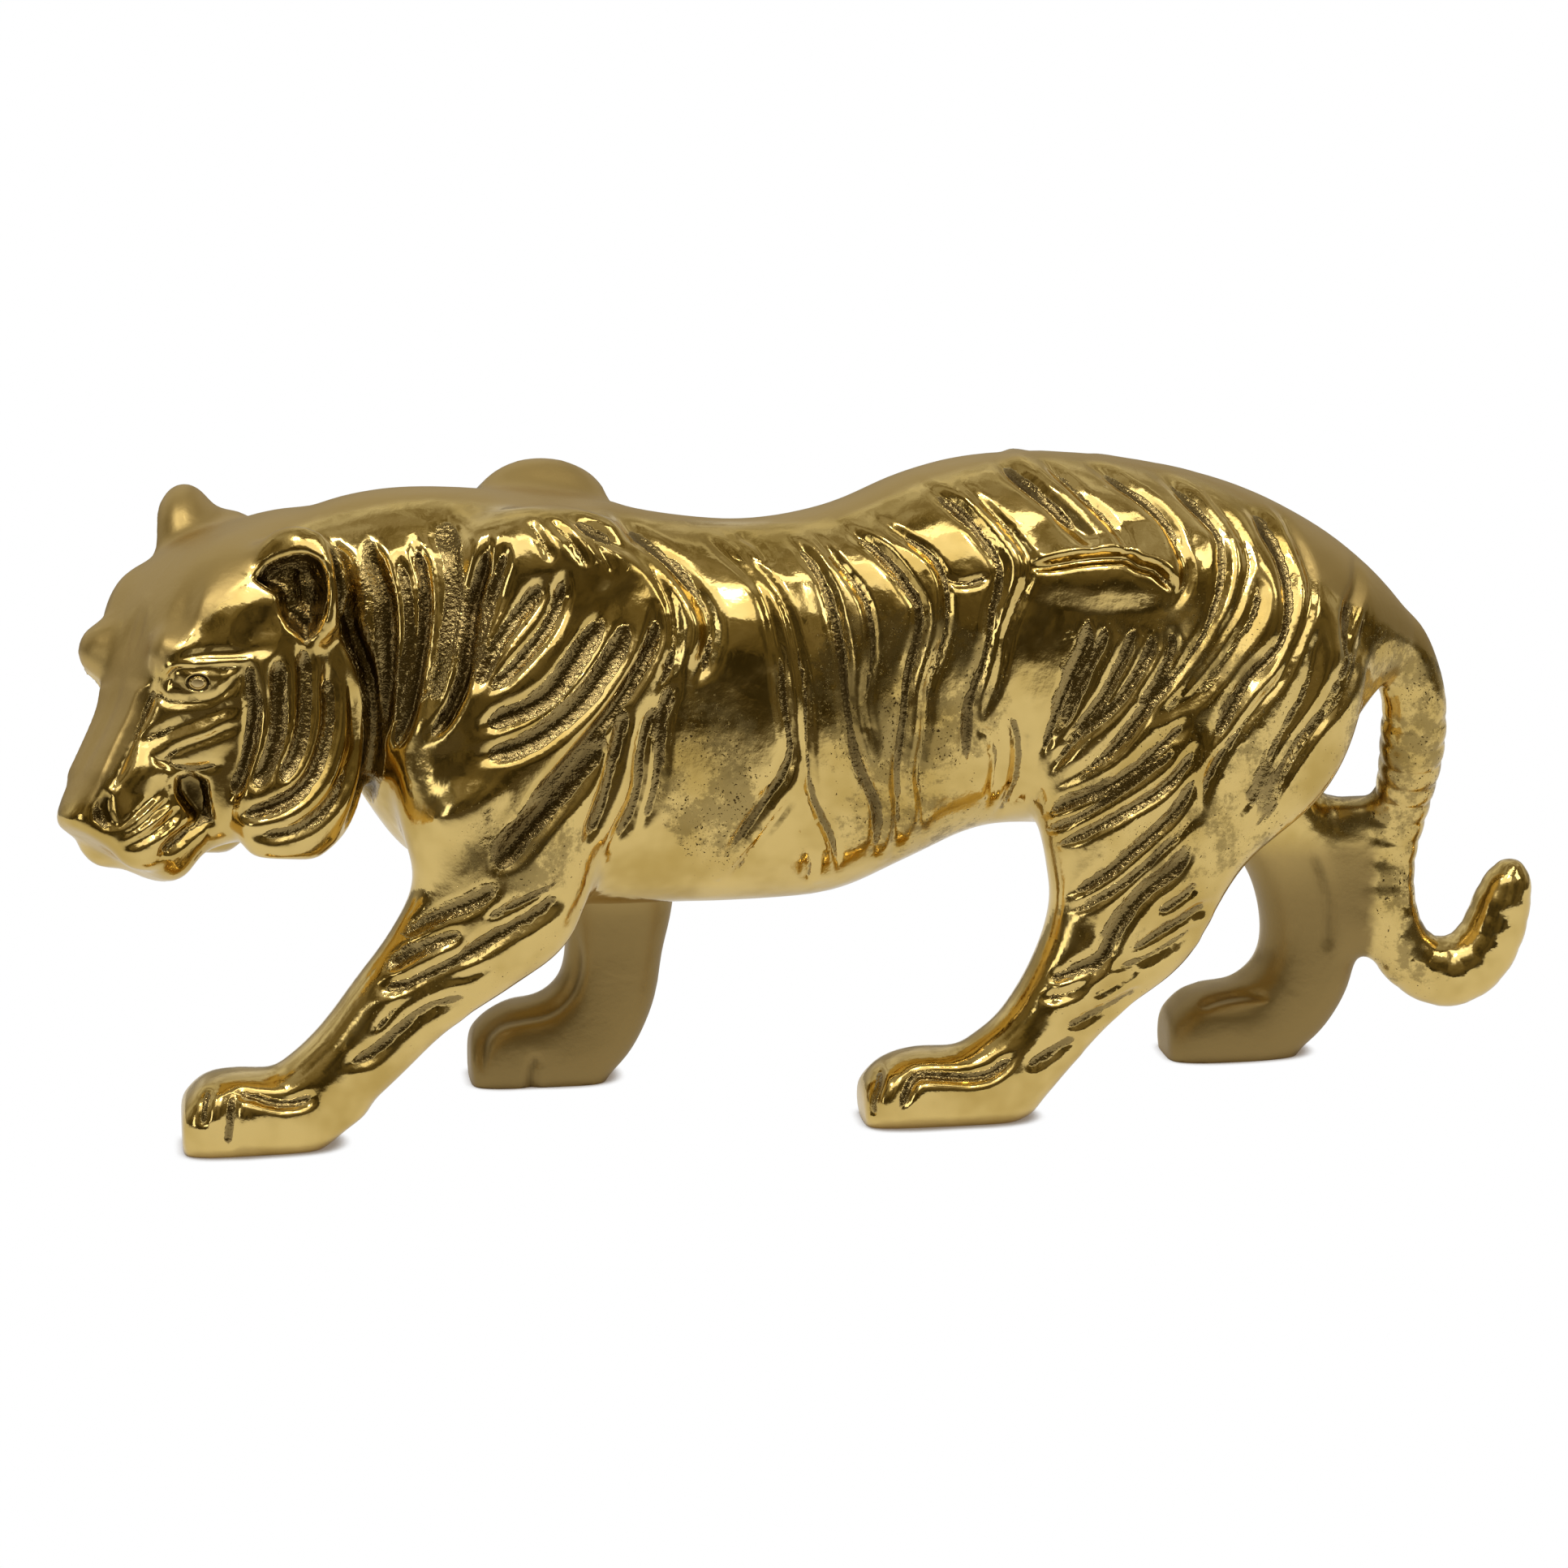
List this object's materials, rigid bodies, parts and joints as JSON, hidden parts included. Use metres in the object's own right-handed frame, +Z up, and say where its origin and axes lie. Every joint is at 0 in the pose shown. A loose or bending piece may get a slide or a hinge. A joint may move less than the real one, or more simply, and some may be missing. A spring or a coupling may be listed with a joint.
{
  "type": "tiger figurine",
  "caption": "Cast brass figurine of a walking tiger with carved stripes and fur folds, a turned head and a tail that curls up at its end.",
  "frame": {"origin": "middle of the bounding box, on the plane of the paws' soles", "axes": "+X toward the tail, -X toward the head, +Z up, -Y toward the flank that the head turns to"},
  "size_m": [0.34, 0.0732, 0.1467],
  "materials": {
    "polished_brass": "polished on what stands out, satin along the spine and on top of the head, rough and dark in the grooves"
  },
  "bodies": {
    "root": {"tiger": "polished_brass"}
  },
  "joints": []
}
